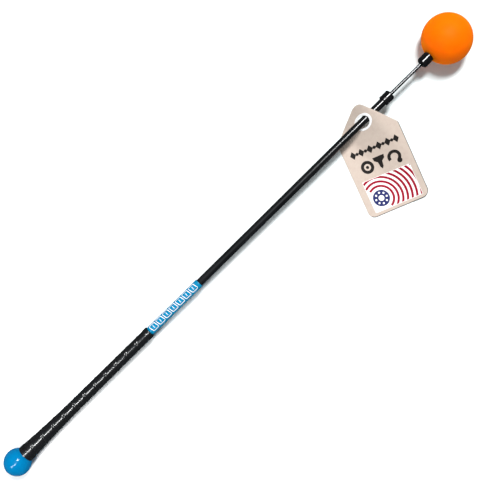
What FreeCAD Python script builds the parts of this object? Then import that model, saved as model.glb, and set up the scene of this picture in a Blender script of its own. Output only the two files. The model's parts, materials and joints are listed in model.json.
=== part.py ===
import FreeCAD, Part
import math
import os

# Swing trainer stick: a flexible fibreglass shaft with a hand grip and a small
# counterweight ball at the butt, and a large weighted ball on a steel rod at the tip.
# A cardboard hang tag is threaded on the shaft.
#
# Units are millimetres. Turned pieces are made along X from their stations, which are
# distances from the butt ball's centre, and lay() then puts them in the object's frame.
# Frame: +X from the butt towards the head, +Z up, the stick lying on its two balls.
# The origin is on the stick's axis, at the middle of the hand grip.

# ---- driving dimensions ----
OVERALL_LENGTH = 902.0
BUTT_BALL_R = 19.7
HEAD_BALL_R = 35.75
GLUE = 0.05  # radial gap of a bonded or threaded joint

SHAFT_R_BUTT = 5.35
SHAFT_R_TIP = 5.70
SHAFT_BORE_R = 4.00
GRIP_END = 263.6
LABEL_END = 361.0
LABEL_R = 6.55
FERRULE_START = 722.0
FERRULE_LENGTH = 15.0
FERRULE_R = 7.40
FERRULE_BEAD_R = 7.75
ROD_R = 2.38  # 3/16 inch rod
HEAD_COLLAR_START = 796.0
HEAD_COLLAR_R = 7.90
STUD_R = 2.50  # M5

TAG_STATION = 682.2  # where the shaft goes through the tag
TAG_DROP = 0.9  # how far the hole hangs off the shaft's axis
TAG_LEAN = 21.0  # degrees that the tag's long axis leans back towards the butt
TAG_THICKNESS = 0.8
TAG_HOLE_R = 8.2
TAG_RING_R = 11.2
TAG_RING_THICKNESS = 0.3
TAG_FLOOR_GAP = 0.1
TAG_CLIMB = 46.0  # slope of the card where it climbs past the shaft
TAG_CREST = (15.0, 14.0)  # rise over the hole past the shaft, and at the far edge
TAG_LIFT = -0.9  # the card's underside at the hole, from the shaft's axis
TAG_FLAT_AT = 150.0  # distance below the hole where the card's bend has died out

# The bent card's corners as seen from above: across and up from the hole's centre along
# the tag's own axis, and the rounding. Flat, it is 92 mm wide: the climb takes up the rest.
TAG_CORNERS = [
    (-2.1, 28.3, 9.0), (44.3, -18.7, 7.0), (52.8, -131.2, 10.0),
    (-39.5, -130.2, 10.0), (-41.0, -14.7, 12.0),
]

# The grip's outline: station and radius, from the butt flare to the mouth.
GRIP_PROFILE = [
    (24.0, 12.40), (44.0, 11.15), (66.0, 10.25), (90.0, 9.45),
    (126.0, 9.05), (182.0, 8.75), (255.1, 8.40),
]

# ---- derived dimensions ----
BALL_SPAN = OVERALL_LENGTH - BUTT_BALL_R - HEAD_BALL_R
TILT = math.asin((HEAD_BALL_R - BUTT_BALL_R) / BALL_SPAN)
GRIP_MIDDLE = 140.0
FLOOR_Z = -GRIP_MIDDLE * math.sin(TILT) - BUTT_BALL_R
FERRULE_END = FERRULE_START + FERRULE_LENGTH

CAP_START = 15.0
CAP_END = GRIP_PROFILE[0][0]
CAP_R = 12.45
BAND_START = GRIP_PROFILE[-1][0]
BAND_R = 8.45
WRAP_THICKNESS = 1.2
TAPE_THICKNESS = 0.3

SPOT_FACE_AT = 18.0
SPOT_FACE_R = 6.2
WASHER_THICKNESS = 1.0
SHAFT_START = SPOT_FACE_AT + WASHER_THICKNESS + GLUE
SHAFT_END = FERRULE_START + 9.0

BUTT_WEIGHT = (-11.0, 9.0, 11.0)  # start, end, radius
BUTT_STUD = (-8.0, 46.0)
BUTT_INSERT = (SHAFT_START + 0.5, 56.0)
TIP_INSERT = (697.0, SHAFT_END)
TIP_ROD = (702.0, 871.0)
PIN_STATION = 708.0
PIN_R = 0.75

HEAD_COLLAR_END = 815.0
HEAD_WASHER_R = 7.6
HEAD_WASHER = (HEAD_COLLAR_END + GLUE, HEAD_COLLAR_END + GLUE + WASHER_THICKNESS)
HEAD_WEIGHT = (828.0, 864.0, 11.0)
JAM_NUT = (810.5, HEAD_COLLAR_END)
LOCK_NUT = (HEAD_WEIGHT[1] + GLUE, HEAD_WEIGHT[1] + GLUE + 5.0)
NUT_ACROSS_FLATS = 8.0
NUT_POCKET_R = 4.75

V = FreeCAD.Vector
ORIGIN = V(0, 0, 0)
ALONG = V(1, 0, 0)


def lay(shape):
    """Move a shape made along X by its stations into the object's frame."""
    shape.translate(V(-GRIP_MIDDLE, 0, 0))
    shape.rotate(ORIGIN, V(0, 1, 0), -math.degrees(TILT))
    return shape


def bar(radius, start, end):
    return Part.makeCylinder(radius, end - start, V(start, 0, 0), ALONG)


def tube(outer, inner, start, end):
    return bar(outer, start, end).cut(bar(inner, start, end))


def turned(points):
    """A solid of revolution about X, from its outline as (station, radius) points."""
    corners = [V(x, r, 0) for x, r in points]
    face = Part.Face(Part.makePolygon(corners + corners[:1]))
    return face.revolve(ORIGIN, ALONG, 360)


def sphere(radius, station):
    return Part.makeSphere(radius, V(station, 0, 0))


def hex_nut(start, end, bore):
    across_corners = NUT_ACROSS_FLATS / math.cos(math.radians(30))
    angles = [math.radians(60 * i) for i in range(7)]
    corners = [
        V(start, across_corners / 2 * math.cos(a), across_corners / 2 * math.sin(a))
        for a in angles
    ]
    prism = Part.Face(Part.makePolygon(corners)).extrude(V(end - start, 0, 0))
    return prism.cut(bar(bore, start, end))


def chamfered_slug(start, end, radius, chamfer):
    return turned([
        (start, 0), (start, radius - chamfer), (start + chamfer, radius),
        (end - chamfer, radius), (end, radius - chamfer), (end, 0),
    ])


# ---- butt end ----
def butt_weight():
    start, end, radius = BUTT_WEIGHT
    return chamfered_slug(start, end, radius, 1.5).cut(bar(STUD_R + GLUE, BUTT_STUD[0] - GLUE, end))


def butt_ball():
    start, end, radius = BUTT_WEIGHT
    ball = sphere(BUTT_BALL_R, 0).cut(chamfered_slug(start - GLUE, end + GLUE, radius + GLUE, 1.5))
    ball = ball.cut(bar(STUD_R + GLUE, end, BUTT_BALL_R))
    return ball.cut(bar(SPOT_FACE_R, SPOT_FACE_AT, BUTT_BALL_R))


def butt_stud():
    return chamfered_slug(*BUTT_STUD, STUD_R, 0.5)


def butt_washer():
    return tube(SPOT_FACE_R - 0.2, STUD_R + GLUE, SPOT_FACE_AT, SPOT_FACE_AT + WASHER_THICKNESS)


def butt_insert():
    start, end = BUTT_INSERT
    plug = chamfered_slug(start, end, SHAFT_BORE_R - GLUE, 0.5)
    return plug.cut(bar(STUD_R + GLUE, start, BUTT_STUD[1] + 1.0))


# ---- shaft and grip ----
def shaft():
    outside = turned([
        (SHAFT_START, 0), (SHAFT_START, SHAFT_R_BUTT), (LABEL_END, SHAFT_R_BUTT),
        (SHAFT_END, SHAFT_R_TIP), (SHAFT_END, 0),
    ])
    return outside.cut(bar(SHAFT_BORE_R, SHAFT_START, SHAFT_END))


def flared_tube(inner, shrink):
    """The grip's outline, taken in by shrink, bored out to inner."""
    points = [V(x, r - shrink, 0) for x, r in GRIP_PROFILE]
    curve = Part.BSplineCurve()
    curve.interpolate(points)
    first, last = points[0], points[-1]
    ends = [first, V(first.x, 0, 0), V(last.x, 0, 0), last]
    sides = [Part.makeLine(ends[i], ends[i + 1]) for i in range(3)]
    wire = Part.Wire(Part.__sortEdges__([curve.toShape()] + sides))
    solid = Part.Face(wire).revolve(ORIGIN, ALONG, 360)
    return solid.cut(bar(inner, first.x, last.x))


def grip_tape():
    inner = SHAFT_R_BUTT + GLUE
    return tube(inner + TAPE_THICKNESS, inner, CAP_END, BAND_START)


def grip_sleeve():
    return flared_tube(SHAFT_R_BUTT + 2 * GLUE + TAPE_THICKNESS, WRAP_THICKNESS + GLUE)


def grip_wrap():
    """The wound strip, with its helical joint left closed, over the rubber sleeve."""
    whole = flared_tube(SHAFT_R_BUTT + 2 * GLUE + TAPE_THICKNESS, 0)
    return whole.cut(flared_tube(SHAFT_R_BUTT, WRAP_THICKNESS))


def grip_cap():
    """Rubber end ring, dished to sit on the butt ball."""
    ring = turned([
        (CAP_START, SHAFT_R_BUTT + GLUE), (CAP_START, CAP_R), (CAP_START + 4.0, CAP_R + 0.1),
        (CAP_END - GLUE, GRIP_PROFILE[0][1]), (CAP_END - GLUE, SHAFT_R_BUTT + GLUE),
    ])
    ring = ring.cut(sphere(BUTT_BALL_R + GLUE, 0))
    return ring.cut(bar(SPOT_FACE_R, CAP_START, SHAFT_START))


def grip_band():
    """Finishing band at the grip's mouth."""
    inner = SHAFT_R_BUTT + GLUE
    start = BAND_START + GLUE
    return turned([
        (start, inner), (start, BAND_R - 0.4), (start + 0.4, BAND_R),
        (GRIP_END - 1.2, BAND_R), (GRIP_END, BAND_R - 0.9), (GRIP_END, inner),
    ])


def label_sleeve():
    return tube(LABEL_R, SHAFT_R_BUTT + GLUE, GRIP_END + GLUE, LABEL_END)


# ---- tip ----
def tip_ferrule():
    """Collar over the shaft's end: a bead at the mouth, a waist and a chamfered nose."""
    s, e = FERRULE_START, FERRULE_END
    seat = SHAFT_R_TIP + GLUE
    outside = turned([
        (s, 0), (s, FERRULE_BEAD_R - 0.5), (s + 0.5, FERRULE_BEAD_R), (s + 3.4, FERRULE_BEAD_R),
        (s + 4.0, FERRULE_R), (s + 5.2, FERRULE_R), (s + 5.8, FERRULE_R + 0.2),
        (e - 1.6, FERRULE_R + 0.2), (e, FERRULE_R - 1.4), (e, 0),
    ])
    return outside.cut(bar(seat, s, SHAFT_END + GLUE)).cut(bar(ROD_R + GLUE, s, e))


def cross_pin_hole():
    radius = PIN_R + GLUE / 2
    reach = SHAFT_BORE_R
    return Part.makeCylinder(radius, 2 * reach, V(PIN_STATION, -reach, 0), V(0, 1, 0))


def tip_insert():
    start, end = TIP_INSERT
    plug = chamfered_slug(start, end, SHAFT_BORE_R - GLUE, 0.5)
    return plug.cut(bar(ROD_R + GLUE, TIP_ROD[0] - GLUE, end)).cut(cross_pin_hole())


def tip_rod():
    return chamfered_slug(*TIP_ROD, ROD_R, 0.4).cut(cross_pin_hole())


def rod_pin():
    half = SHAFT_BORE_R - 4 * GLUE
    return Part.makeCylinder(PIN_R, 2 * half, V(PIN_STATION, -half, 0), V(0, 1, 0))


# ---- head ----
def head_collar():
    s, e = HEAD_COLLAR_START, HEAD_COLLAR_END
    outside = turned([
        (s, 0), (s, HEAD_COLLAR_R - 1.8), (s + 1.8, HEAD_COLLAR_R), (e, HEAD_COLLAR_R), (e, 0),
    ])
    return outside.cut(bar(ROD_R + GLUE, s, e)).cut(bar(NUT_POCKET_R, JAM_NUT[0] - 0.5, e))


def head_ball():
    start, end, radius = HEAD_WEIGHT
    ball = sphere(HEAD_BALL_R, BALL_SPAN)
    seat = HEAD_WASHER[1] + GLUE
    ball = ball.cut(bar(HEAD_COLLAR_R + GLUE, BALL_SPAN - HEAD_BALL_R, seat))
    ball = ball.cut(bar(ROD_R + GLUE, seat - 1.0, start))
    ball = ball.cut(chamfered_slug(start - GLUE, end + GLUE, radius + GLUE, 1.5))
    return ball.cut(bar(NUT_POCKET_R, end, TIP_ROD[1] + 1.0))


def head_weight():
    start, end, radius = HEAD_WEIGHT
    return chamfered_slug(start, end, radius, 1.5).cut(bar(ROD_R + GLUE, start, end))


# ---- hang tag ----
def rounded_outline(corners):
    """A closed wire through (x, y, radius) corners, each rounded by its radius."""
    edges, count = [], len(corners)
    previous_end = first_start = None
    for i, (x, y, radius) in enumerate(corners):
        here = V(x, y, 0)
        to_last = (V(*corners[i - 1][:2], 0) - here).normalize()
        to_next = (V(*corners[(i + 1) % count][:2], 0) - here).normalize()
        half = to_last.getAngle(to_next) / 2
        reach = radius / math.tan(half)
        bisector = (to_last + to_next).normalize()
        start, end = here + to_last * reach, here + to_next * reach
        middle = here + bisector * (radius / math.sin(half) - radius)
        if previous_end is None:
            first_start = start
        else:
            edges.append(Part.makeLine(previous_end, start))
        edges.append(Part.Arc(start, middle, end).toShape())
        previous_end = end
    edges.append(Part.makeLine(previous_end, first_start))
    return Part.Wire(edges)


def hole_centre():
    along = TAG_STATION - GRIP_MIDDLE
    return V(along * math.cos(TILT), -TAG_DROP, 0)


def tag_bend_poles():
    """Card's bend along X: (offset from the hole, height over the floor) of its poles."""
    height = BUTT_BALL_R + TAG_STATION * math.sin(TILT) + TAG_LIFT
    climb = math.tan(math.radians(TAG_CLIMB))
    return [
        (-100.0, 0.0), (-65.0, 0.0), (-height / climb, 0.0), (-20.0, height - 20.0 * climb),
        (0.0, height), (14.0, height + 14.0 * climb), (24.0, height + TAG_CREST[0]),
        (50.0, height + TAG_CREST[1]),
    ]


def tag_surface():
    """Underside of the card: it lies flat at its foot and climbs over the shaft at its head."""
    centre = hole_centre()
    poles = []
    for offset, height in tag_bend_poles():
        row = []
        for down in (-40.0, TAG_FLAT_AT):
            rise = height * (1 - down / TAG_FLAT_AT) + TAG_FLOOR_GAP
            row.append(V(centre.x + offset, centre.y - down, FLOOR_Z + rise))
        poles.append(row)
    surface = Part.BSplineSurface()
    surface.buildFromPolesMultsKnots(
        poles, [4, 1, 1, 1, 1, 4], [2, 2], [0, 1, 2, 3, 4, 5], [0, 1], False, False, 3, 1
    )
    return surface.toShape()


def tag_layer(bottom, thickness, upright):
    """A sheet of the given thickness that follows the card, cut to an upright prism."""
    sheet = tag_surface()
    sheet.translate(V(0, 0, bottom))
    return sheet.extrude(V(0, 0, thickness)).common(upright)


def upright_cylinder(radius):
    centre = hole_centre()
    return Part.makeCylinder(radius, 200, V(centre.x, centre.y, -100))


def tag_card():
    prism = Part.Face(rounded_outline(TAG_CORNERS)).extrude(V(0, 0, 200))
    prism.rotate(ORIGIN, V(0, 0, 1), -TAG_LEAN)
    centre = hole_centre()
    prism.translate(V(centre.x, centre.y, -100))
    return tag_layer(0, TAG_THICKNESS, prism.cut(upright_cylinder(TAG_HOLE_R)))


def tag_ring(bottom):
    washer = upright_cylinder(TAG_RING_R).cut(upright_cylinder(TAG_HOLE_R))
    return tag_layer(bottom, TAG_RING_THICKNESS, washer)


TURNED_PIECES = {
    "butt_ball": butt_ball(),
    "butt_weight": butt_weight(),
    "butt_stud": butt_stud(),
    "butt_washer": butt_washer(),
    "butt_insert": butt_insert(),
    "grip_cap": grip_cap(),
    "grip_tape": grip_tape(),
    "grip_sleeve": grip_sleeve(),
    "grip_wrap": grip_wrap(),
    "grip_band": grip_band(),
    "label_sleeve": label_sleeve(),
    "shaft": shaft(),
    "tip_ferrule": tip_ferrule(),
    "tip_insert": tip_insert(),
    "tip_rod": tip_rod(),
    "rod_pin": rod_pin(),
    "head_collar": head_collar(),
    "head_jam_nut": hex_nut(*JAM_NUT, ROD_R + GLUE),
    "head_washer": tube(HEAD_WASHER_R, ROD_R + GLUE, *HEAD_WASHER),
    "head_weight": head_weight(),
    "head_lock_nut": hex_nut(*LOCK_NUT, ROD_R + GLUE),
    "head_ball": head_ball(),
}
TAG_PIECES = {
    "tag_card": tag_card(),
    "tag_ring_front": tag_ring(TAG_THICKNESS),
    "tag_ring_back": tag_ring(-TAG_RING_THICKNESS),
}

os.makedirs("parts", exist_ok=True)
for node, shape in {n: lay(s) for n, s in TURNED_PIECES.items()}.items():
    shape.exportStep("parts/" + node + ".step")
for node, shape in TAG_PIECES.items():
    shape.exportStep("parts/" + node + ".step")
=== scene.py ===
import json
import math

import bmesh
import bpy
import numpy as np
from mathutils import Matrix, Vector


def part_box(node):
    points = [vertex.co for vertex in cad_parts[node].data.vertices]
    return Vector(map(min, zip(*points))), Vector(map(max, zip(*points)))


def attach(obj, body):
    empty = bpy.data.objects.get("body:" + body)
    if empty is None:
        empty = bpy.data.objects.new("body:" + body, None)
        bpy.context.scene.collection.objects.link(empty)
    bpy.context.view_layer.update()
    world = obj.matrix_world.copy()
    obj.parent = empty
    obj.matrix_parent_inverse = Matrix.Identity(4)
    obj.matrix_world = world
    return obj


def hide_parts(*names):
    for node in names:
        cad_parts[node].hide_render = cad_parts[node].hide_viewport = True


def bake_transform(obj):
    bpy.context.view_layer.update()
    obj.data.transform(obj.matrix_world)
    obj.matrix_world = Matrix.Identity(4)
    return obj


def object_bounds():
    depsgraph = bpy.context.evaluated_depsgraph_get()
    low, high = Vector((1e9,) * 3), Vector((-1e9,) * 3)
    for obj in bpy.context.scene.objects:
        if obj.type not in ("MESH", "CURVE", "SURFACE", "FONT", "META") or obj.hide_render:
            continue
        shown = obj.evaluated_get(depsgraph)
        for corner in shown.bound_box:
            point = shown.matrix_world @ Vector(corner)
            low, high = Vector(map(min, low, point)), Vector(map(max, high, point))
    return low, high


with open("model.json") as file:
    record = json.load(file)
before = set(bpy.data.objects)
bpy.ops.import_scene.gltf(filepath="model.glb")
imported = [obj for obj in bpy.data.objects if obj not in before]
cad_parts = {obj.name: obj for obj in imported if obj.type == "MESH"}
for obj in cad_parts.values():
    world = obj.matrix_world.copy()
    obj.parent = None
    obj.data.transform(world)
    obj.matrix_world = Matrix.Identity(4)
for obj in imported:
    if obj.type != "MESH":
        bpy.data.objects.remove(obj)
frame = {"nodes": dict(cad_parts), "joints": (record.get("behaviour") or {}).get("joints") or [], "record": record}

# Swing trainer stick, lying on its two balls. Metres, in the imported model's frame.
# Turned pieces are made round the stick's axis from their stations: distances along the
# axis from the frame's origin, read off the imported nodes. mm() keeps small sizes readable.

CAD_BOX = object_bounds()
MOUNTS = {m["name"]: m for m in frame["record"]["mounts"]}
JOINTS = {j["name"]: j for j in frame["joints"]}
AXIS = Vector(MOUNTS["hand_grip"]["axis"]).normalized()
SIDE = Vector((0, 1, 0))
UPWARD = AXIS.cross(SIDE).normalized()
FLOOR_Z = CAD_BOX[0].z


def mm(value):
    return value / 1000


GLUE = mm(0.05)  # gap round a bonded piece


# ---------------------------------------------------------------- measuring the frame
def stations(node):
    """Where a turned node starts and ends along the stick's axis."""
    along = [v.co.dot(AXIS) for v in frame["nodes"][node].data.vertices]
    return min(along), max(along)


def girth(node):
    """A turned node's largest radius about the stick's axis."""
    return max((v.co - AXIS * v.co.dot(AXIS)).length for v in frame["nodes"][node].data.vertices)


def on_axis(station):
    return AXIS * float(station)


def round_axis(station, radius, angle):
    """A point at a radius from the stick's axis; the angle goes from +Y over the top."""
    outward = SIDE * math.cos(angle) + UPWARD * math.sin(angle)
    return on_axis(station) + outward * float(radius)


# ---------------------------------------------------------------- mesh helpers
def make_object(name, verts, faces, sharp_angle=40, weld=False):
    mesh = bpy.data.meshes.new(name)
    mesh.from_pydata([tuple(v) for v in verts], [], faces)
    mesh.validate()
    tidy = bmesh.new()
    tidy.from_mesh(mesh)
    if weld:
        bmesh.ops.remove_doubles(tidy, verts=tidy.verts, dist=1e-6)
        bmesh.ops.dissolve_degenerate(tidy, edges=tidy.edges, dist=1e-6)
    bmesh.ops.recalc_face_normals(tidy, faces=tidy.faces)
    tidy.to_mesh(mesh)
    tidy.free()
    mesh.polygons.foreach_set("use_smooth", [True] * len(mesh.polygons))
    mesh.set_sharp_from_angle(angle=math.radians(sharp_angle))
    obj = bpy.data.objects.new(name, mesh)
    bpy.context.scene.collection.objects.link(obj)
    return obj


def filleted(corners, steps=5):
    """Points of a closed outline from (x, y, radius) corners, each rounded by an arc."""
    points = []
    count = len(corners)
    for i, (x, y, radius) in enumerate(corners):
        here = Vector((x, y))
        if radius <= 0:
            points.append(here)
            continue
        back = (Vector(corners[i - 1][:2]) - here).normalized()
        ahead = (Vector(corners[(i + 1) % count][:2]) - here).normalized()
        half = back.angle(ahead) / 2
        centre = here + (back + ahead).normalized() * (radius / math.sin(half))
        start = here + back * (radius / math.tan(half)) - centre
        end = here + ahead * (radius / math.tan(half)) - centre
        turn = start.angle_signed(end)
        for k in range(steps + 1):
            points.append(centre + Matrix.Rotation(-turn * k / steps, 2) @ start)
    return points


def lathe(name, outline, segments=96, sharp_angle=40):
    """A closed turned piece from its closed (station, radius) outline."""
    rings = []
    verts = []
    for station, radius in outline:
        if radius < 1e-7:
            rings.append([len(verts)] * segments)
            verts.append(on_axis(station))
            continue
        rings.append(list(range(len(verts), len(verts) + segments)))
        for j in range(segments):
            verts.append(round_axis(station, radius, 2 * math.pi * j / segments))
    faces = []
    for i, ring in enumerate(rings):
        after = rings[(i + 1) % len(rings)]
        for j in range(segments):
            k = (j + 1) % segments
            corners = []
            for index in (ring[j], ring[k], after[k], after[j]):
                if index not in corners:
                    corners.append(index)
            if len(corners) > 2:
                faces.append(corners)
    return make_object(name, verts, faces, sharp_angle)


def arc_points(centre, radius, start, end, steps):
    """Points (station, radius) of a meridian arc about a point on the axis, angles from +X."""
    angles = np.linspace(start, end, steps + 1)
    return [(centre + radius * math.cos(a), max(0.0, radius * math.sin(a))) for a in angles]


def replace_with(piece, node, body):
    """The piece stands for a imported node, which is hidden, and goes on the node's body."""
    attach(piece, body)
    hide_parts(node)
    return piece


# ---------------------------------------------------------------- materials
class Shader:
    """A node material under construction: a Principled shader and what feeds it."""

    def __init__(self, name, **settings):
        self.material = bpy.data.materials.new(name)
        self.material.use_nodes = True
        self.tree = self.material.node_tree
        self.tree.nodes.clear()
        self.bsdf = self.tree.nodes.new("ShaderNodeBsdfPrincipled")
        output = self.tree.nodes.new("ShaderNodeOutputMaterial")
        self.join(self.bsdf.outputs[0], output.inputs[0])
        self.coords = self.tree.nodes.new("ShaderNodeTexCoord").outputs["Object"]
        for socket, value in settings.items():
            self.bsdf.inputs[socket.replace("_", " ")].default_value = value

    def join(self, source, target):
        self.tree.links.new(source, target)

    def noise(self, scale, detail=4.0, roughness=0.55, stretch=(1, 1, 1)):
        """Noise over the piece; stretch below 1 draws the grain out along that axis."""
        mapping = self.tree.nodes.new("ShaderNodeMapping")
        mapping.inputs["Scale"].default_value = stretch
        self.join(self.coords, mapping.inputs["Vector"])
        noise = self.tree.nodes.new("ShaderNodeTexNoise")
        noise.inputs["Scale"].default_value = scale
        noise.inputs["Detail"].default_value = detail
        noise.inputs["Roughness"].default_value = roughness
        self.join(mapping.outputs[0], noise.inputs["Vector"])
        return noise.outputs["Fac"]

    def cells(self, scale):
        cells = self.tree.nodes.new("ShaderNodeTexVoronoi")
        cells.inputs["Scale"].default_value = scale
        self.join(self.coords, cells.inputs["Vector"])
        return cells.outputs["Distance"]

    def spread(self, value, low, high, start=0.3, end=0.7):
        """A number that varies from low to high as value goes from start to end."""
        ranger = self.tree.nodes.new("ShaderNodeMapRange")
        ranger.inputs["From Min"].default_value = start
        ranger.inputs["From Max"].default_value = end
        ranger.inputs["To Min"].default_value = low
        ranger.inputs["To Max"].default_value = high
        self.join(value, ranger.inputs["Value"])
        return ranger.outputs["Result"]

    def colours(self, value, stops):
        ramp = self.tree.nodes.new("ShaderNodeValToRGB")
        elements = ramp.color_ramp.elements
        while len(elements) < len(stops):
            elements.new(0.5)
        for element, (place, colour) in zip(elements, stops):
            element.position = place
            element.color = (*colour, 1.0)
        self.join(value, ramp.inputs["Fac"])
        self.join(ramp.outputs["Color"], self.bsdf.inputs["Base Color"])

    def roughness(self, value, low, high):
        self.join(self.spread(value, low, high), self.bsdf.inputs["Roughness"])

    def bump(self, layers):
        """Stacked bumps from (value, height in metres) pairs."""
        normal = None
        for value, height in layers:
            bump = self.tree.nodes.new("ShaderNodeBump")
            bump.inputs["Distance"].default_value = height
            bump.inputs["Strength"].default_value = 1.0
            self.join(value, bump.inputs["Height"])
            if normal:
                self.join(normal, bump.inputs["Normal"])
            normal = bump.outputs["Normal"]
        self.join(normal, self.bsdf.inputs["Normal"])


def blue_urethane():
    s = Shader("blue_urethane", IOR=1.32)
    s.colours(s.noise(60), [(0.3, (0.0, 0.142, 0.335)), (0.7, (0.0, 0.164, 0.372))])
    s.roughness(s.noise(180), 0.11, 0.13)
    s.bump([(s.noise(160, detail=1), mm(0.004))])
    return s.material


def orange_urethane():
    s = Shader("orange_urethane", IOR=1.45, Specular_IOR_Level=0.05)
    s.bsdf.inputs["Subsurface Weight"].default_value = 0.85
    s.bsdf.inputs["Subsurface Scale"].default_value = mm(22)
    s.bsdf.inputs["Subsurface Radius"].default_value = (1.0, 0.8, 0.35)
    s.colours(s.noise(45), [(0.3, (0.91, 0.144, 0.0)), (0.7, (0.96, 0.162, 0.0))])
    s.roughness(s.noise(260), 0.46, 0.58)
    s.bump([(s.noise(700, detail=2), mm(0.02)), (s.noise(90, detail=1), mm(0.05))])
    return s.material


RUBBER_BLACK = [(0.3, (0.004, 0.004, 0.0045)), (0.75, (0.009, 0.009, 0.010))]
LACQUER_BLACK = [(0.3, (0.003, 0.003, 0.0035)), (0.75, (0.009, 0.009, 0.010))]
COLLAR_BLACK = [(0.3, (0.003, 0.003, 0.0035)), (0.7, (0.007, 0.007, 0.008))]
DARK_STEEL = [(0.3, (0.042, 0.042, 0.044)), (0.7, (0.052, 0.052, 0.054))]


def grip_rubber():
    s = Shader("grip_rubber", IOR=1.5, Specular_IOR_Level=0.9)
    s.colours(s.noise(300), RUBBER_BLACK)
    s.roughness(s.noise(420), 0.21, 0.23)
    s.bump([(s.cells(900), mm(0.002)), (s.noise(1600, detail=1), mm(0.001))])
    return s.material


def plain_rubber():
    s = Shader("plain_rubber", IOR=1.5, Specular_IOR_Level=0.9)
    s.colours(s.noise(200), RUBBER_BLACK)
    s.roughness(s.noise(300), 0.22, 0.25)
    s.bump([(s.noise(1200, detail=1), mm(0.003))])
    return s.material


def label_film():
    s = Shader("label_film", IOR=1.45, Specular_IOR_Level=0.3)
    s.colours(s.noise(90), [(0.3, (0.0, 0.178, 0.355)), (0.7, (0.0, 0.21, 0.405))])
    s.roughness(s.noise(240), 0.24, 0.30)
    s.bump([(s.noise(120, detail=1, stretch=(0.2, 1, 1)), mm(0.02))])
    return s.material


def label_ink():
    s = Shader("label_ink", IOR=1.48)
    s.colours(s.noise(400), [(0.3, (0.88, 0.90, 0.92)), (0.7, (0.94, 0.95, 0.96))])
    s.roughness(s.noise(300), 0.3, 0.42)
    s.bump([(s.noise(900), mm(0.008))])
    return s.material


def shaft_lacquer():
    s = Shader("shaft_lacquer", IOR=1.5)
    s.colours(s.noise(240, stretch=(0.08, 1, 1)), LACQUER_BLACK)
    s.roughness(s.noise(420, stretch=(0.3, 1, 1)), 0.19, 0.22)
    s.bump([(s.noise(700, detail=1, stretch=(0.5, 1, 1)), mm(0.003))])
    return s.material


def collar_black():
    s = Shader("collar_black", IOR=1.5, Specular_IOR_Level=0.4)
    s.colours(s.noise(200), COLLAR_BLACK)
    s.roughness(s.noise(350), 0.16, 0.18)
    s.bump([(s.noise(900, detail=1, stretch=(3, 0.4, 0.4)), mm(0.004))])
    return s.material


def polished_steel():
    s = Shader("polished_steel", Metallic=1.0, Specular_Tint=(0.03, 0.03, 0.03, 1.0))
    s.colours(s.noise(700, stretch=(0.1, 1, 1)), DARK_STEEL)
    s.roughness(s.noise(900, stretch=(0.08, 1, 1)), 0.13, 0.15)
    s.bump([(s.noise(1100, detail=1, stretch=(2, 0.6, 0.6)), mm(0.0005))])
    return s.material


def machined_metal(name, dark, light, low, high):
    s = Shader(name, Metallic=1.0)
    s.colours(s.noise(320), [(0.3, dark), (0.7, light)])
    s.roughness(s.noise(500), low, high)
    s.bump([(s.noise(1500, stretch=(5, 0.5, 0.5)), mm(0.01))])
    return s.material


def soft_backing(name, dark, light):
    s = Shader(name)
    s.colours(s.noise(350), [(0.3, dark), (0.7, light)])
    s.roughness(s.noise(400), 0.6, 0.8)
    s.bump([(s.noise(900), mm(0.04))])
    return s.material


def card_stock():
    s = Shader("card_stock", IOR=1.45)
    s.colours(
        s.noise(170, detail=6, roughness=0.7),
        [(0.25, (0.50, 0.400, 0.342)), (0.5, (0.54, 0.445, 0.380)), (0.8, (0.57, 0.485, 0.415))],
    )
    s.roughness(s.noise(300), 0.72, 0.9)
    s.bump([(s.noise(700, stretch=(0.4, 1, 1)), mm(0.03)), (s.noise(160), mm(0.05))])
    return s.material


def card_ink(name, dark, light):
    s = Shader(name, IOR=1.45, Specular_IOR_Level=0.15)
    s.colours(s.noise(900, detail=6), [(0.3, dark), (0.75, light)])
    s.roughness(s.noise(300), 0.6, 0.75)
    s.bump([(s.noise(700, stretch=(0.4, 1, 1)), mm(0.02))])
    return s.material


def ring_paper():
    s = Shader("ring_paper", IOR=1.45)
    s.colours(s.noise(350), [(0.3, (0.84, 0.84, 0.84)), (0.7, (0.93, 0.93, 0.93))])
    s.roughness(s.noise(300), 0.4, 0.55)
    s.bump([(s.noise(800), mm(0.012))])
    return s.material


SHADE_TURN = math.radians(-45)  # the floor's painted shade runs towards the key light
SHADE_FROM, SHADE_TO = -0.14, 0.5  # metres along it


def studio_white():
    """White paper, painted a little darker under the key light so that it looks even, and painted cool there so
    that the orange ball's bounce in its shadow looks grey; it glows faintly all over.
    """
    s = Shader("studio_white", Roughness=0.9, Specular_IOR_Level=0.0)
    turned = s.tree.nodes.new("ShaderNodeMapping")
    turned.inputs["Rotation"].default_value = (0, 0, SHADE_TURN)
    s.join(s.coords, turned.inputs["Vector"])
    split = s.tree.nodes.new("ShaderNodeSeparateXYZ")
    s.join(turned.outputs[0], split.inputs[0])
    across = s.spread(split.outputs["X"], 0.0, 1.0, SHADE_FROM, SHADE_TO)
    # painted shade, tinted cool, growing towards the key light
    s.colours(across, [(0.0, (0.95, 0.95, 0.95)), (1.0, (0.71, 0.78, 0.785))])
    # a faint glow over the whole floor, which lifts it and its shadows
    s.bsdf.inputs["Emission Color"].default_value = (1, 1, 1, 1)
    s.bsdf.inputs["Emission Strength"].default_value = 0.03
    return s.material


def paint(obj, material):
    obj.data.materials.clear()
    obj.data.materials.append(material)
    return obj


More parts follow.
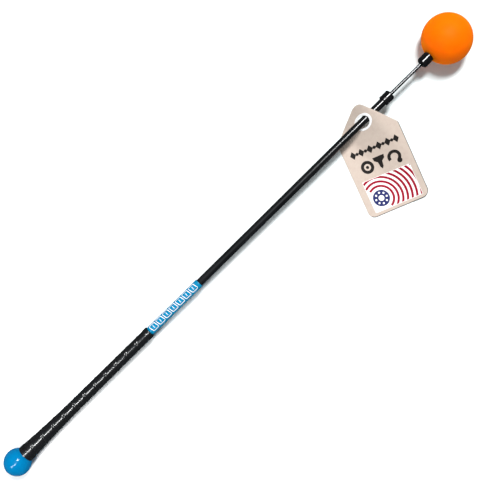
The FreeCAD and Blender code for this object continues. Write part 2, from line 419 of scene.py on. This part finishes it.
MATERIALS = {
    "blue": blue_urethane(),
    "orange": orange_urethane(),
    "grip": grip_rubber(),
    "rubber": plain_rubber(),
    "label": label_film(),
    "label_ink": label_ink(),
    "label_shade": card_ink("label_shade", (0.004, 0.020, 0.07), (0.008, 0.032, 0.10)),
    "shaft": shaft_lacquer(),
    "collar": collar_black(),
    "rod": polished_steel(),
    "weight": machined_metal("weight_steel", (0.32, 0.32, 0.33), (0.45, 0.45, 0.46), 0.32, 0.5),
    "zinc": machined_metal("zinc_steel", (0.50, 0.51, 0.54), (0.66, 0.67, 0.68), 0.25, 0.4),
    "aluminium": machined_metal("turned_aluminium", (0.62, 0.63, 0.64), (0.76, 0.77, 0.78), 0.25, 0.4),
    "underlay": soft_backing("underlay_rubber", (0.02, 0.02, 0.02), (0.035, 0.035, 0.035)),
    "tape": soft_backing("grip_tape", (0.60, 0.54, 0.40), (0.72, 0.66, 0.50)),
    "card": card_stock(),
    "ring": ring_paper(),
    # dark print ink, also used for the painted shadow along the card's edges
    "dark_ink_and_edge_shadow": card_ink("dark_ink_and_edge_shadow", (0.008, 0.007, 0.007), (0.022, 0.018, 0.016)),
    "navy_ink": card_ink("navy_ink", (0.014, 0.020, 0.10), (0.026, 0.034, 0.15)),
    "red_ink": card_ink("red_ink", (0.26, 0.003, 0.016), (0.36, 0.006, 0.026)),
    "white_ink": card_ink("white_ink", (0.86, 0.84, 0.83), (0.94, 0.93, 0.92)),
}

KEPT_NODES = {
    "butt_weight": "weight", "butt_stud": "zinc", "butt_washer": "zinc",
    "butt_insert": "aluminium", "grip_tape": "tape", "grip_sleeve": "underlay",
    "tip_insert": "aluminium", "tip_rod": "rod", "rod_pin": "zinc", "head_jam_nut": "zinc",
    "head_washer": "zinc", "head_weight": "weight", "head_lock_nut": "zinc",
}
for node, material in KEPT_NODES.items():
    for material_slot in frame["nodes"][node].material_slots:
        material_slot.material = MATERIALS[material]


# ---------------------------------------------------------------- the two balls
SEAM_WIDTH = mm(0.6)
SEAM_HEIGHT = mm(0.06)
GATE_RADIUS = mm(1.6)
GATE_DEPTH = mm(0.2)


def ball_arc(centre, radius, start, end, steps):
    """A moulded ball's meridian, with its faint parting line at the widest ring."""
    points = []
    for angle in np.linspace(start, end, steps + 1):
        off_seam = abs(radius * (angle - math.pi / 2)) / SEAM_WIDTH
        swell = SEAM_HEIGHT * (math.exp(-off_seam * off_seam) - 1)
        off_gate = radius * min(angle, math.pi - angle) / GATE_RADIUS
        dent = GATE_DEPTH * math.exp(-off_gate**4)
        r = radius + swell - dent
        points.append((centre + r * math.cos(angle), max(0.0, r * math.sin(angle))))
    return points


def butt_ball():
    start, flat = stations("butt_ball")
    radius = girth("butt_ball")
    centre = start + radius
    neck = math.acos((flat - centre) / radius)
    outline = ball_arc(centre, radius, math.pi, neck, 220) + [(flat, 0.0)]
    piece = lathe("butt_ball_moulded", outline, 160)
    return replace_with(paint(piece, MATERIALS["blue"]), "butt_ball", "handle")


def head_ball():
    end = stations("head_ball")[1]
    radius = girth("head_ball")
    centre = end - radius
    collar_end = stations("head_collar")[1]
    hole = girth("head_collar") + GLUE
    lip = mm(0.5)
    neck = math.pi - math.asin((hole + lip) / radius)
    mouth = centre - math.sqrt(radius**2 - hole**2) + lip
    outline = ball_arc(centre, radius, 0.0, neck, 300)
    outline += [(mouth - 0.6 * lip, hole + 0.25 * lip), (mouth, hole)]
    outline += [(collar_end, hole), (collar_end, 0.0)]
    piece = lathe("head_ball_moulded", outline, 220)
    return replace_with(paint(piece, MATERIALS["orange"]), "head_ball", "tip")


# ---------------------------------------------------------------- grip
WRAP_PITCH = mm(20.5)
FIRST_GROOVE = mm(32.3)  # from the butt ball's centre, on top of the grip
GROOVE_DEPTH = mm(0.7)
GROOVE_WIDTH = mm(0.7)
BEAD_AT = mm(1.7)  # the strip's raised edge, past the groove towards the head
BEAD_HEIGHT = mm(0.4)
BEAD_WIDTH = mm(1.0)
EDGE_ROW = mm(0.22)  # between rows of the mesh where the strip's edge is modelled


def outer_profile(node):
    """Stations and radii along a turned node's outer face."""
    mesh = frame["nodes"][node].data
    rings = {}
    for face in mesh.polygons:
        outward = face.center - AXIS * face.center.dot(AXIS)
        if face.normal.dot(outward.normalized()) < 0.5:
            continue
        for index in face.vertices:
            co = mesh.vertices[index].co
            station = co.dot(AXIS)
            rings[round(station, 5)] = (co - AXIS * station).length
    places = sorted(rings)
    return places, [rings[station] for station in places]


def wound_depth(after):
    """How far the wound strip lies below the grip's outline, from the distance past a groove."""
    nearest = min(after, WRAP_PITCH - after)
    groove = GROOVE_DEPTH * math.exp(-((nearest / GROOVE_WIDTH) ** 2))
    bead = BEAD_HEIGHT * math.exp(-(((after - BEAD_AT) / BEAD_WIDTH) ** 2))
    return groove + BEAD_HEIGHT - bead


def strip_rows():
    """Distances past a groove for one turn's rows of points, close together at its edge."""
    fine = [EDGE_ROW * i for i in range(20)]
    coarse = list(np.linspace(fine[-1], WRAP_PITCH - mm(1.3), 9))[1:]
    last = [WRAP_PITCH - short for short in (mm(1.0), mm(0.7), mm(0.45), EDGE_ROW)]
    return fine + coarse + last


def grip_wrap():
    """The strip wound in one spiral; the rows of the mesh follow its winding."""
    start, end = stations("grip_wrap")
    profile_stations, radii = outer_profile("grip_wrap")
    first = stations("butt_ball")[0] + girth("butt_ball") + FIRST_GROOVE + WRAP_PITCH / 4
    bore = girth("grip_tape") + mm(0.06)
    segments = 96
    rows = strip_rows()
    before = math.ceil((first - start) / WRAP_PITCH) + 1
    turns = before + math.ceil((end - first) / WRAP_PITCH) + 1
    verts = []
    for turn in range(-before, turns - before):
        for after in rows:
            for j in range(segments):
                wound = first + turn * WRAP_PITCH + after - WRAP_PITCH * j / segments
                station = min(max(wound, start), end)
                past = (after + station - wound) % WRAP_PITCH
                outline = float(np.interp(station, profile_stations, radii))
                angle = 2 * math.pi * j / segments
                verts.append(round_axis(station, outline - wound_depth(past), angle))
    count = turns * len(rows)
    for station in (end, start):
        for j in range(segments):
            verts.append(round_axis(station, bore, 2 * math.pi * j / segments))
    faces = []
    for i in range(count - 1):
        for j in range(segments - 1):
            a = i * segments + j
            faces.append((a, a + 1, a + segments + 1, a + segments))
        if i >= len(rows):
            a, b = i * segments + segments - 1, (i - len(rows)) * segments
            faces.append((a, b, b + segments, a + segments))
    for j in range(segments):
        k = (j + 1) % segments
        first_ring, last_ring = 0, (count - 1) * segments
        end_bore, start_bore = count * segments, (count + 1) * segments
        faces.append((last_ring + j, last_ring + k, end_bore + k, end_bore + j))
        faces.append((end_bore + j, end_bore + k, start_bore + k, start_bore + j))
        faces.append((start_bore + j, start_bore + k, first_ring + k, first_ring + j))
    piece = make_object("grip_wrap_wound", verts, faces, 60, weld=True)
    return replace_with(paint(piece, MATERIALS["grip"]), "grip_wrap", "handle")


def grip_cap():
    """End ring, dished to the butt ball, with a rolled edge and two shallow beads."""
    start, end = stations("grip_cap")
    outer = girth("grip_cap")
    ball_r = girth("butt_ball") + GLUE
    centre = stations("butt_ball")[0] + girth("butt_ball")
    inner = mm(6.6)
    dish = arc_points(centre, ball_r, math.asin(inner / ball_r), math.asin((outer - mm(0.5)) / ball_r), 8)
    rim = dish[-1][0]
    body = [
        (rim + mm(0.1), outer - mm(0.12)), (rim + mm(0.45), outer), (rim + mm(2.6), outer),
        (rim + mm(2.9), outer - mm(0.25)), (rim + mm(3.3), outer - mm(0.25)), (rim + mm(3.6), outer),
        (end - mm(0.6), outer - mm(0.05)), (end - mm(0.1), outer - mm(0.35)), (end, outer - mm(0.7)),
        (end, inner),
    ]
    piece = lathe("grip_cap_ring", dish + body, 128, 50)
    return replace_with(paint(piece, MATERIALS["rubber"]), "grip_cap", "handle")


def grip_band():
    start, end = stations("grip_band")
    outer = girth("grip_band")
    bore = girth("grip_tape") - mm(0.25)
    outline = filleted([
        (start, bore, 0), (start, outer, mm(0.35)), (start + mm(3.0), outer, 0),
        (start + mm(3.3), outer - mm(0.2), mm(0.1)), (start + mm(3.7), outer - mm(0.2), mm(0.1)),
        (start + mm(4.0), outer, 0), (end, outer - mm(0.15), mm(1.0)), (end, bore, 0),
    ])
    piece = lathe("grip_band_ring", outline, 96, 50)
    return replace_with(paint(piece, MATERIALS["rubber"]), "grip_band", "handle")


# ---------------------------------------------------------------- label
def cut(work, point, normal, drop=False):
    """Cut a flat mesh along a line, and drop what lies on the line's far side if asked."""
    normal = Vector(normal)
    sides = [(v.co - Vector(point)).dot(normal) for v in work.verts]
    if max(sides) < 0 or (min(sides) > 0 and not drop):
        return
    everything = work.verts[:] + work.edges[:] + work.faces[:]
    bmesh.ops.bisect_plane(
        work, geom=everything, plane_co=point, plane_no=normal, dist=1e-7, clear_outer=drop
    )


def stamped(name, outlines, divide, place, thickness, keep=()):
    """A thin closed layer: closed 2-D outlines filled (inner ones as holes), trimmed to the
    inside of keep and divided along divide, both lists of (point, normal), then put on a
    surface by place(x, y, lift)."""
    work = bmesh.new()
    for outline in outlines:
        ring = [work.verts.new((x, y, 0)) for x, y in outline]
        for i, vert in enumerate(ring):
            work.edges.new((vert, ring[(i + 1) % len(ring)]))
    bmesh.ops.triangle_fill(work, edges=work.edges, use_beauty=True, use_dissolve=False)
    for point, normal in keep:
        cut(work, point, normal, drop=True)
    for point, normal in divide:
        cut(work, point, normal)
    bmesh.ops.recalc_face_normals(work, faces=work.faces)
    count = len(work.verts)
    work.verts.index_update()
    flat = [v.co.copy() for v in work.verts]
    faces = [[v.index for v in f.verts] for f in work.faces]
    rim = [[v.index for v in e.verts] for e in work.edges if e.is_boundary]
    work.free()
    verts = [place(p.x, p.y, thickness) for p in flat] + [place(p.x, p.y, 0.0) for p in flat]
    sides = [(a, b, b + count, a + count) for a, b in rim]
    under = [[i + count for i in reversed(f)] for f in faces]
    return make_object(name, verts, faces + sides + under)


def strips(low, high, step):
    """Cutting lines along X, every step of Y."""
    count = max(1, int((high - low) / step))
    return [((0, low + (high - low) * i / count, 0), (0, 1, 0)) for i in range(1, count)]


def label_sleeve():
    start, end = stations("label_sleeve")
    outer = girth("label_sleeve")
    bore = girth("grip_tape") - mm(0.28)
    edge = mm(0.18)
    steps = 60
    outline = [(start, bore), (start, outer - edge), (start + edge, outer)]
    outline += [(start + (end - start) * i / steps, outer) for i in range(1, steps)]
    outline += [(end - edge, outer), (end, outer - edge), (end, bore)]
    piece = lathe("label_sleeve_film", outline, 96, 50)
    return replace_with(paint(piece, MATERIALS["label"]), "label_sleeve", "handle")


def slanted_link(start, length, half_height, slant, stroke):
    """Outer and inner outline of an open, slanted link with rounded corners, along x."""
    def ring(inset, radius):
        low, high = -half_height + inset, half_height - inset
        return [tuple(p) for p in filleted([
            (start + inset - slant, low, radius), (start + length - inset - slant, low, radius),
            (start + length - inset + slant, high, radius), (start + inset + slant, high, radius),
        ], 4)]

    return [ring(0.0, mm(2.0)), ring(stroke, mm(0.9))]


def label_pattern():
    """A row of outlined slanted links with a bar in each, printed on the sleeve. Each link lies
    on a wider dark one, which shows as a thin shade round it."""
    start, end = stations("label_sleeve")
    radius = girth("label_sleeve")
    half_height = mm(5.4)
    stroke = mm(0.95)
    slant = mm(1.1)
    shade = mm(0.25)
    thickness = mm(0.05)
    count = 7
    margin = mm(4)
    gap = mm(2)
    sunk = mm(0.03)
    roll = mm(1.2)  # the row's middle lies this far round from the top of the sleeve
    pitch = (end - start - 2 * margin) / count
    length = pitch - gap
    lines = strips(-half_height, half_height, mm(0.5))

    def place(x, y, lift):
        angle = math.pi / 2 - roll / radius + y / radius
        return round_axis(x, radius - sunk + lift, angle)

    def place_over(x, y, lift):
        return place(x, y, lift + sunk)

    for i in range(count):
        left = start + margin + i * pitch
        link = slanted_link(left, length, half_height, slant, stroke)
        under = slanted_link(
            left - shade, length + 2 * shade, half_height + shade, slant, stroke + 2 * shade
        )
        middle = left + length / 2
        bar = slanted_link(middle - stroke / 2, stroke, mm(2.2), slant * 0.4, stroke)[0]
        for name, outline, ink, layer in (
            (f"label_shade_{i + 1}", under, "label_shade", place),
            (f"label_link_{i + 1}", link, "label_ink", place_over),
            (f"label_bar_{i + 1}", [bar], "label_ink", place),
        ):
            piece = stamped(name, outline, lines, layer, thickness)
            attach(paint(piece, MATERIALS[ink]), "handle")


# ---------------------------------------------------------------- shaft
def shaft():
    """One tube between the handle and the tip."""
    start, end = stations("shaft")
    tip_radius = girth("shaft")
    label_end = stations("label_sleeve")[1]
    butt_radius = girth("grip_tape") - mm(0.35)
    bore = girth("tip_insert") + GLUE
    places = np.linspace(start, end, int((end - start) / mm(3)) + 1)
    edge = mm(0.3)
    outline = [(start, butt_radius - edge)]
    for station in places[1:-1]:
        share = max(0.0, (station - label_end) / (end - label_end))
        outline.append((station, butt_radius + (tip_radius - butt_radius) * share))
    outline.append((end, tip_radius - edge))
    outline += [(station, bore) for station in places[::-1]]
    piece = lathe("shaft_tube", outline, 72, 50)
    paint(piece, MATERIALS["shaft"])
    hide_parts("shaft")
    pivot = Vector(JOINTS["shaft_flex"]["pos_m"]).dot(AXIS)
    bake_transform(piece)
    return piece


# ---------------------------------------------------------------- tip and head collars
def tip_ferrule():
    start, end = stations("tip_ferrule")
    bead = girth("tip_ferrule")
    body = bead - mm(0.15)
    seat = girth("shaft") + GLUE
    rod = girth("tip_rod") + GLUE
    inside_end = stations("shaft")[1] + GLUE
    outline = filleted([
        (start, seat, 0), (start, bead, mm(0.6)), (start + mm(3.4), bead, mm(0.4)),
        (start + mm(3.9), body - mm(0.3), mm(0.15)), (start + mm(5.2), body - mm(0.3), mm(0.15)),
        (start + mm(5.7), body, mm(0.3)), (end - mm(1.4), body, mm(0.9)),
        (end, body - mm(1.5), mm(0.5)), (end, rod, 0), (inside_end, rod, 0), (inside_end, seat, 0),
    ])
    piece = lathe("tip_ferrule_turned", outline, 96, 35)
    return replace_with(paint(piece, MATERIALS["collar"]), "tip_ferrule", "tip")


def head_collar():
    start, end = stations("head_collar")
    outer = girth("head_collar")
    rod = girth("tip_rod") + GLUE
    pocket = girth("head_jam_nut") + mm(0.15)
    pocket_start = stations("head_jam_nut")[0] - mm(0.5)
    outline = filleted([
        (start, rod, 0), (start, outer - mm(1.9), mm(0.5)), (start + mm(1.9), outer, mm(0.9)),
        (end, outer, mm(0.2)), (end, pocket, 0), (pocket_start, pocket, 0), (pocket_start, rod, 0),
    ])
    piece = lathe("head_collar_turned", outline, 96, 35)
    return replace_with(paint(piece, MATERIALS["collar"]), "head_collar", "tip")


# ---------------------------------------------------------------- hang tag
TAG_LEAN = math.radians(21)
TAG_THICKNESS = mm(0.8)
TAG_FLAT_AT = mm(150)
TAG_FLOOR_GAP = mm(0.1)
TAG_CLIMB = math.tan(math.radians(46))
TAG_CREST = (mm(15), mm(14))
TAG_TOP_LEFT = Vector((mm(-41.0), mm(-14.7)))  # the bent card's corners in its own plan
TAG_TOP_RIGHT = Vector((mm(44.3), mm(-18.7)))
TAG_LOW_RIGHT = Vector((mm(52.8), mm(-131.2)))
TAG_LOW_LEFT = Vector((mm(-39.5), mm(-130.2)))
TAG_APEX = Vector((mm(-2.1), mm(28.3)))
RING_THICKNESS = mm(0.3)
RING_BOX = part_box("tag_ring_front")
HOLE = (RING_BOX[0] + RING_BOX[1]) / 2  # middle of the tag's hole
RING_R = (RING_BOX[1].x - RING_BOX[0].x) / 2
HOLE_R = RING_R - mm(3.0)


def bend_curve():
    """Offsets from the hole along X, and the card's height over the floor there."""
    height = Vector(JOINTS["tag_swing"]["pos_m"]).z - FLOOR_Z - mm(0.9)
    poles = [
        (mm(-100), 0.0), (mm(-65), 0.0), (-height / TAG_CLIMB, 0.0),
        (mm(-20), height - mm(20) * TAG_CLIMB), (0.0, height),
        (mm(14), height + mm(14) * TAG_CLIMB), (mm(24), height + TAG_CREST[0]),
        (mm(50), height + TAG_CREST[1]),
    ]
    degree = 3
    inner = len(poles) - degree
    knots = [0.0] * degree + [float(k) for k in range(inner + 1)] + [float(inner)] * degree
    offsets, heights = [], []
    for t in np.linspace(0.0, inner - 1e-9, 600):
        span = degree + int(t)
        points = [np.array(poles[span - degree + k]) for k in range(degree + 1)]
        for level in range(1, degree + 1):
            for k in range(degree, level - 1, -1):
                i = span - degree + k
                share = (t - knots[i]) / (knots[i + degree - level + 1] - knots[i])
                points[k] = points[k - 1] * (1 - share) + points[k] * share
        offsets.append(points[degree][0])
        heights.append(points[degree][1])
    return offsets, heights


BEND_OFFSETS, BEND_HEIGHTS = bend_curve()


def on_card(p, q, lift):
    """A point of the tag's own plan, p across and q up from the hole, on the bent card's underside."""
    x = HOLE.x + p * math.cos(TAG_LEAN) + q * math.sin(TAG_LEAN)
    y = HOLE.y - p * math.sin(TAG_LEAN) + q * math.cos(TAG_LEAN)
    height = float(np.interp(x - HOLE.x, BEND_OFFSETS, BEND_HEIGHTS))
    fade = 1 + (y - HOLE.y) / TAG_FLAT_AT
    return Vector((x, y, FLOOR_Z + TAG_FLOOR_GAP + height * fade + lift))


def bend_lines():
    """Cutting lines in the tag's own plan: close together across the bend, wider along it."""
    lines = []
    for turn, low, high, step in ((0, mm(-95), mm(50), mm(1.5)), (90, mm(-150), mm(60), mm(6))):
        angle = TAG_LEAN + math.radians(turn)
        normal = Vector((math.cos(angle), math.sin(angle), 0))
        lines += [(normal * at, normal) for at in np.arange(low, high, step)]
    return lines


BEND_LINES = bend_lines()


def circle(radius, count=96, centre=(0.0, 0.0)):
    angles = [2 * math.pi * i / count for i in range(count)]
    return [(centre[0] + radius * math.cos(a), centre[1] + radius * math.sin(a)) for a in angles]


def card_outline():
    """The card's outline, clockwise from the apex, 13 points to a corner."""
    return filleted([
        (*TAG_APEX, mm(9)), (*TAG_TOP_RIGHT, mm(7)), (*TAG_LOW_RIGHT, mm(10)),
        (*TAG_LOW_LEFT, mm(10)), (*TAG_TOP_LEFT, mm(12)),
    ], 12)


def tag_card():
    outlines = [card_outline(), circle(HOLE_R)]
    piece = stamped("tag_card_sheet", outlines, BEND_LINES, on_card, TAG_THICKNESS)
    return replace_with(paint(piece, MATERIALS["card"]), "tag_card", "tag")


def tag_ring(name, node, bottom):
    def place(p, q, lift):
        return on_card(p, q, bottom + lift)

    piece = stamped(name, [circle(RING_R), circle(HOLE_R)], BEND_LINES, place, RING_THICKNESS)
    return replace_with(paint(piece, MATERIALS["ring"]), node, "tag")


# ---------------------------------------------------------------- the tag's print
INK_THICKNESS = mm(0.06)
INK_SUNK = mm(0.02)
FLAT_WIDTH = (TAG_LOW_RIGHT - TAG_LOW_LEFT).length
EDGE_FROM, EDGE_TO = 18, 46  # points of the card's outline that the painted edge shadow follows


def as_bent(p, q):
    """Where a point of the flat card, 92 mm wide, lies in the bent card's plan."""
    up = (q - TAG_LOW_LEFT.y) / (TAG_TOP_LEFT.y - TAG_LOW_LEFT.y)
    left = TAG_LOW_LEFT.lerp(TAG_TOP_LEFT, up)
    right = TAG_LOW_RIGHT.lerp(TAG_TOP_RIGHT, up)
    return tuple(left.lerp(right, p / FLAT_WIDTH + 0.5))


def printed(name, outlines, ink, level=1, keep=(), bent=False):
    """Ink on the card's face, and the painted edge shadow; level lifts one ink over another. The outlines are
    drawn on the flat card, unless they are already bent."""
    base = TAG_THICKNESS - INK_SUNK + (level - 1) * (INK_THICKNESS - INK_SUNK)

    def place(p, q, lift):
        return on_card(p, q, base + lift)

    if not bent:
        outlines = [[as_bent(*point) for point in outline] for outline in outlines]
    piece = stamped(name, outlines, BEND_LINES, place, INK_THICKNESS, keep)
    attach(paint(piece, MATERIALS[ink]), "tag")
    return piece


def rounded_bar(left, right, low, high, radius):
    return [tuple(p) for p in filleted([
        (left, low, radius), (right, low, radius), (right, high, radius), (left, high, radius),
    ])]


def arc_band(centre, inner, outer, start, end, steps=32):
    """A band of a ring between two angles."""
    angles = np.linspace(math.radians(start), math.radians(end), steps + 1)
    far = [(centre[0] + outer * math.cos(a), centre[1] + outer * math.sin(a)) for a in angles]
    near = [(centre[0] + inner * math.cos(a), centre[1] + inner * math.sin(a)) for a in angles[::-1]]
    return far + near


PRINT_LEFT = mm(-36)
PRINT_RIGHT = mm(37)


def print_row():
    """A row of diamonds with dots between them."""
    row = mm(-36)
    count = 11
    for i in range(count):
        p = PRINT_LEFT + mm(4.5) + (PRINT_RIGHT - PRINT_LEFT - mm(9)) * i / (count - 1)
        if i % 2:
            printed(f"print_dot_{i + 1}", [circle(mm(2.3), 28, (p, row))], "dark_ink_and_edge_shadow")
        else:
            tall, wide = mm(6.0), mm(4.6)
            diamond = [(p - wide, row), (p, row - tall), (p + wide, row), (p, row + tall)]
            printed(f"print_diamond_{i + 1}", [diamond], "dark_ink_and_edge_shadow")


def print_shapes():
    """A ball, a tee and a swing arc."""
    middle = mm(-59)
    ball = (mm(-19), middle)
    printed("print_ball", [circle(mm(9.6), 64, ball), circle(mm(5), 64, ball)], "dark_ink_and_edge_shadow")
    printed("print_ball_centre", [circle(mm(2.4), 32, ball)], "dark_ink_and_edge_shadow")
    tee = mm(0.5)
    half_tee = [(mm(8.2), mm(9.5)), (mm(7.4), mm(4.5)), (mm(3.2), mm(1.2)), (mm(2.2), mm(-6.5))]
    tee_side = [(tee + x, middle + y) for x, y in half_tee]
    far_side = [(tee - x, middle + y) for x, y in half_tee[::-1]]
    printed("print_tee", [tee_side + [(tee, middle - mm(9.8))] + far_side], "dark_ink_and_edge_shadow")
    swing = (mm(21), middle)
    printed("print_swing", [arc_band(swing, mm(5.2), mm(9.6), -60, 205, 64)], "dark_ink_and_edge_shadow")
    head = (swing[0] + mm(5.2), swing[1] - mm(7.6))
    printed("print_swing_end", [circle(mm(3.6), 40, head)], "dark_ink_and_edge_shadow")


def print_panel():
    """A pale panel with a disc and the arcs that spread from it, trimmed to the panel."""
    low, high = mm(-125), mm(-76.5)
    edge = mm(0.6)
    printed("print_panel", [rounded_bar(PRINT_LEFT, PRINT_RIGHT, low, high, mm(1.5))], "white_ink")
    left, right = PRINT_LEFT + edge, PRINT_RIGHT - edge
    corners = [
        Vector(as_bent(p, q))
        for p, q in ((left, low + edge), (right, low + edge), (right, high - edge), (left, high - edge))
    ]
    inside = []
    for i, corner in enumerate(corners):
        along = corners[(i + 1) % 4] - corner
        inside.append(((corner.x, corner.y, 0), (along.y, -along.x, 0)))
    centre = (mm(-19.5), mm(-107.5))
    width = mm(3.3)
    for i in range(8):
        radius = mm(16.2) + i * 2 * width
        band = arc_band(centre, radius, radius + width, -60, 130, 96)
        printed(f"print_arc_{i + 1}", [band], "red_ink", 2, inside)
    printed("print_disc", [circle(mm(12.2), 72, centre), circle(mm(4.2), 40, centre)], "navy_ink", 2)
    for i in range(8):
        angle = math.radians(45 * i)
        spot = (centre[0] + mm(8.2) * math.cos(angle), centre[1] + mm(8.2) * math.sin(angle))
        printed(f"print_dimple_{i + 1}", [circle(mm(1.5), 20, spot)], "white_ink", 3)


def painted_edge_shadow():
    """A painted shadow: a thin dark line along the card's right and bottom edges, where the card's own edge would
    cast shade.
    """
    outline = card_outline()
    outer, inner = [], []
    for i in range(EDGE_FROM, EDGE_TO):
        along = (outline[i + 1] - outline[i - 1]).normalized()
        inward = Vector((along.y, -along.x))
        outer.append(tuple(outline[i] + inward * mm(0.05)))
        inner.append(tuple(outline[i] + inward * mm(0.75)))
    # painted shadow: dark ink standing in for the shade at the card's right and bottom edges
    printed("painted_edge_shadow_line", [outer + inner[::-1]], "dark_ink_and_edge_shadow", bent=True)


def tag_print_and_edge_shadow():
    """Generic print for the tag, and a painted shadow along its right and bottom edges."""
    print_row()
    print_shapes()
    print_panel()
    painted_edge_shadow()


# ---------------------------------------------------------------- stage
CAMERA_AT = (0.301375, -0.003800, 1.191176)
CAMERA_ROLL = math.radians(-44.606)
LENS = 62.2
STAGE_MIDDLE = (0.3, 0, 0)
WORLD_COLOUR = (0.8, 0.96, 1, 1)
WORLD_STRENGTH = 0.07


def area_light(name, place, target, size, watts, colour=(1, 1, 1)):
    """A soft box aimed at target, its long side kept along X."""
    data = bpy.data.lights.new(name, "AREA")
    data.shape = "RECTANGLE"
    data.size, data.size_y = size
    data.energy = watts
    data.color = colour
    backward = (Vector(place) - Vector(target)).normalized()
    upward = backward.cross(Vector((1, 0, 0))).normalized()
    facing = Matrix((upward.cross(backward), upward, backward)).transposed().to_4x4()
    light = bpy.data.objects.new(name, data)
    light.matrix_world = Matrix.Translation(place) @ facing
    bpy.context.scene.collection.objects.link(light)


def studio():
    """A white table and four soft boxes."""
    reach = 6
    corners = [(-reach, -reach), (reach, -reach), (reach, reach), (-reach, reach)]
    floor = make_object("studio_floor", [(x, y, FLOOR_Z) for x, y in corners], [(0, 1, 2, 3)])
    paint(floor, studio_white())
    floor.visible_glossy = False  # as when dark cards keep a bright table out of black and blue gloss
    world = bpy.data.worlds.new("studio_world")
    world.use_nodes = True
    background = world.node_tree.nodes["Background"]
    background.inputs["Color"].default_value = WORLD_COLOUR
    background.inputs["Strength"].default_value = WORLD_STRENGTH
    bpy.context.scene.world = world
    area_light("key_light", (1.18, 0.48, 2.1), STAGE_MIDDLE, (0.7, 0.36), 72)
    area_light("overhead_light", (0.3, 0.3, 1.7), STAGE_MIDDLE, (1.6, 1.0), 3, (0.8, 0.93, 1.0))
    area_light("butt_end_light", (-0.95, 0.05, 0.8), (-0.95, 0.05, 0), (1.0, 0.12), 8)
    area_light("grip_light", (-0.29, 0.0, 0.8), (-0.29, 0.0, 0), (0.34, 0.05), 2.8)
    bpy.context.scene.view_settings.view_transform = "Standard"


def camera():
    data = bpy.data.cameras.new("photo_camera")
    data.sensor_width = 36
    data.lens = LENS
    data.clip_start = 0.01
    data.clip_end = 100
    view = bpy.data.objects.new("photo_camera", data)
    view.location = CAMERA_AT
    view.rotation_euler = (0, 0, CAMERA_ROLL)
    bpy.context.scene.collection.objects.link(view)
    bpy.context.scene.camera = view


butt_ball()
head_ball()
grip_wrap()
grip_cap()
grip_band()
label_sleeve()
label_pattern()
shaft()
tip_ferrule()
head_collar()
tag_card()
tag_ring("tag_ring_front_disc", "tag_ring_front", TAG_THICKNESS)
tag_ring("tag_ring_back_disc", "tag_ring_back", -RING_THICKNESS)
tag_print_and_edge_shadow()
studio()
camera()

bpy.context.view_layer.update()
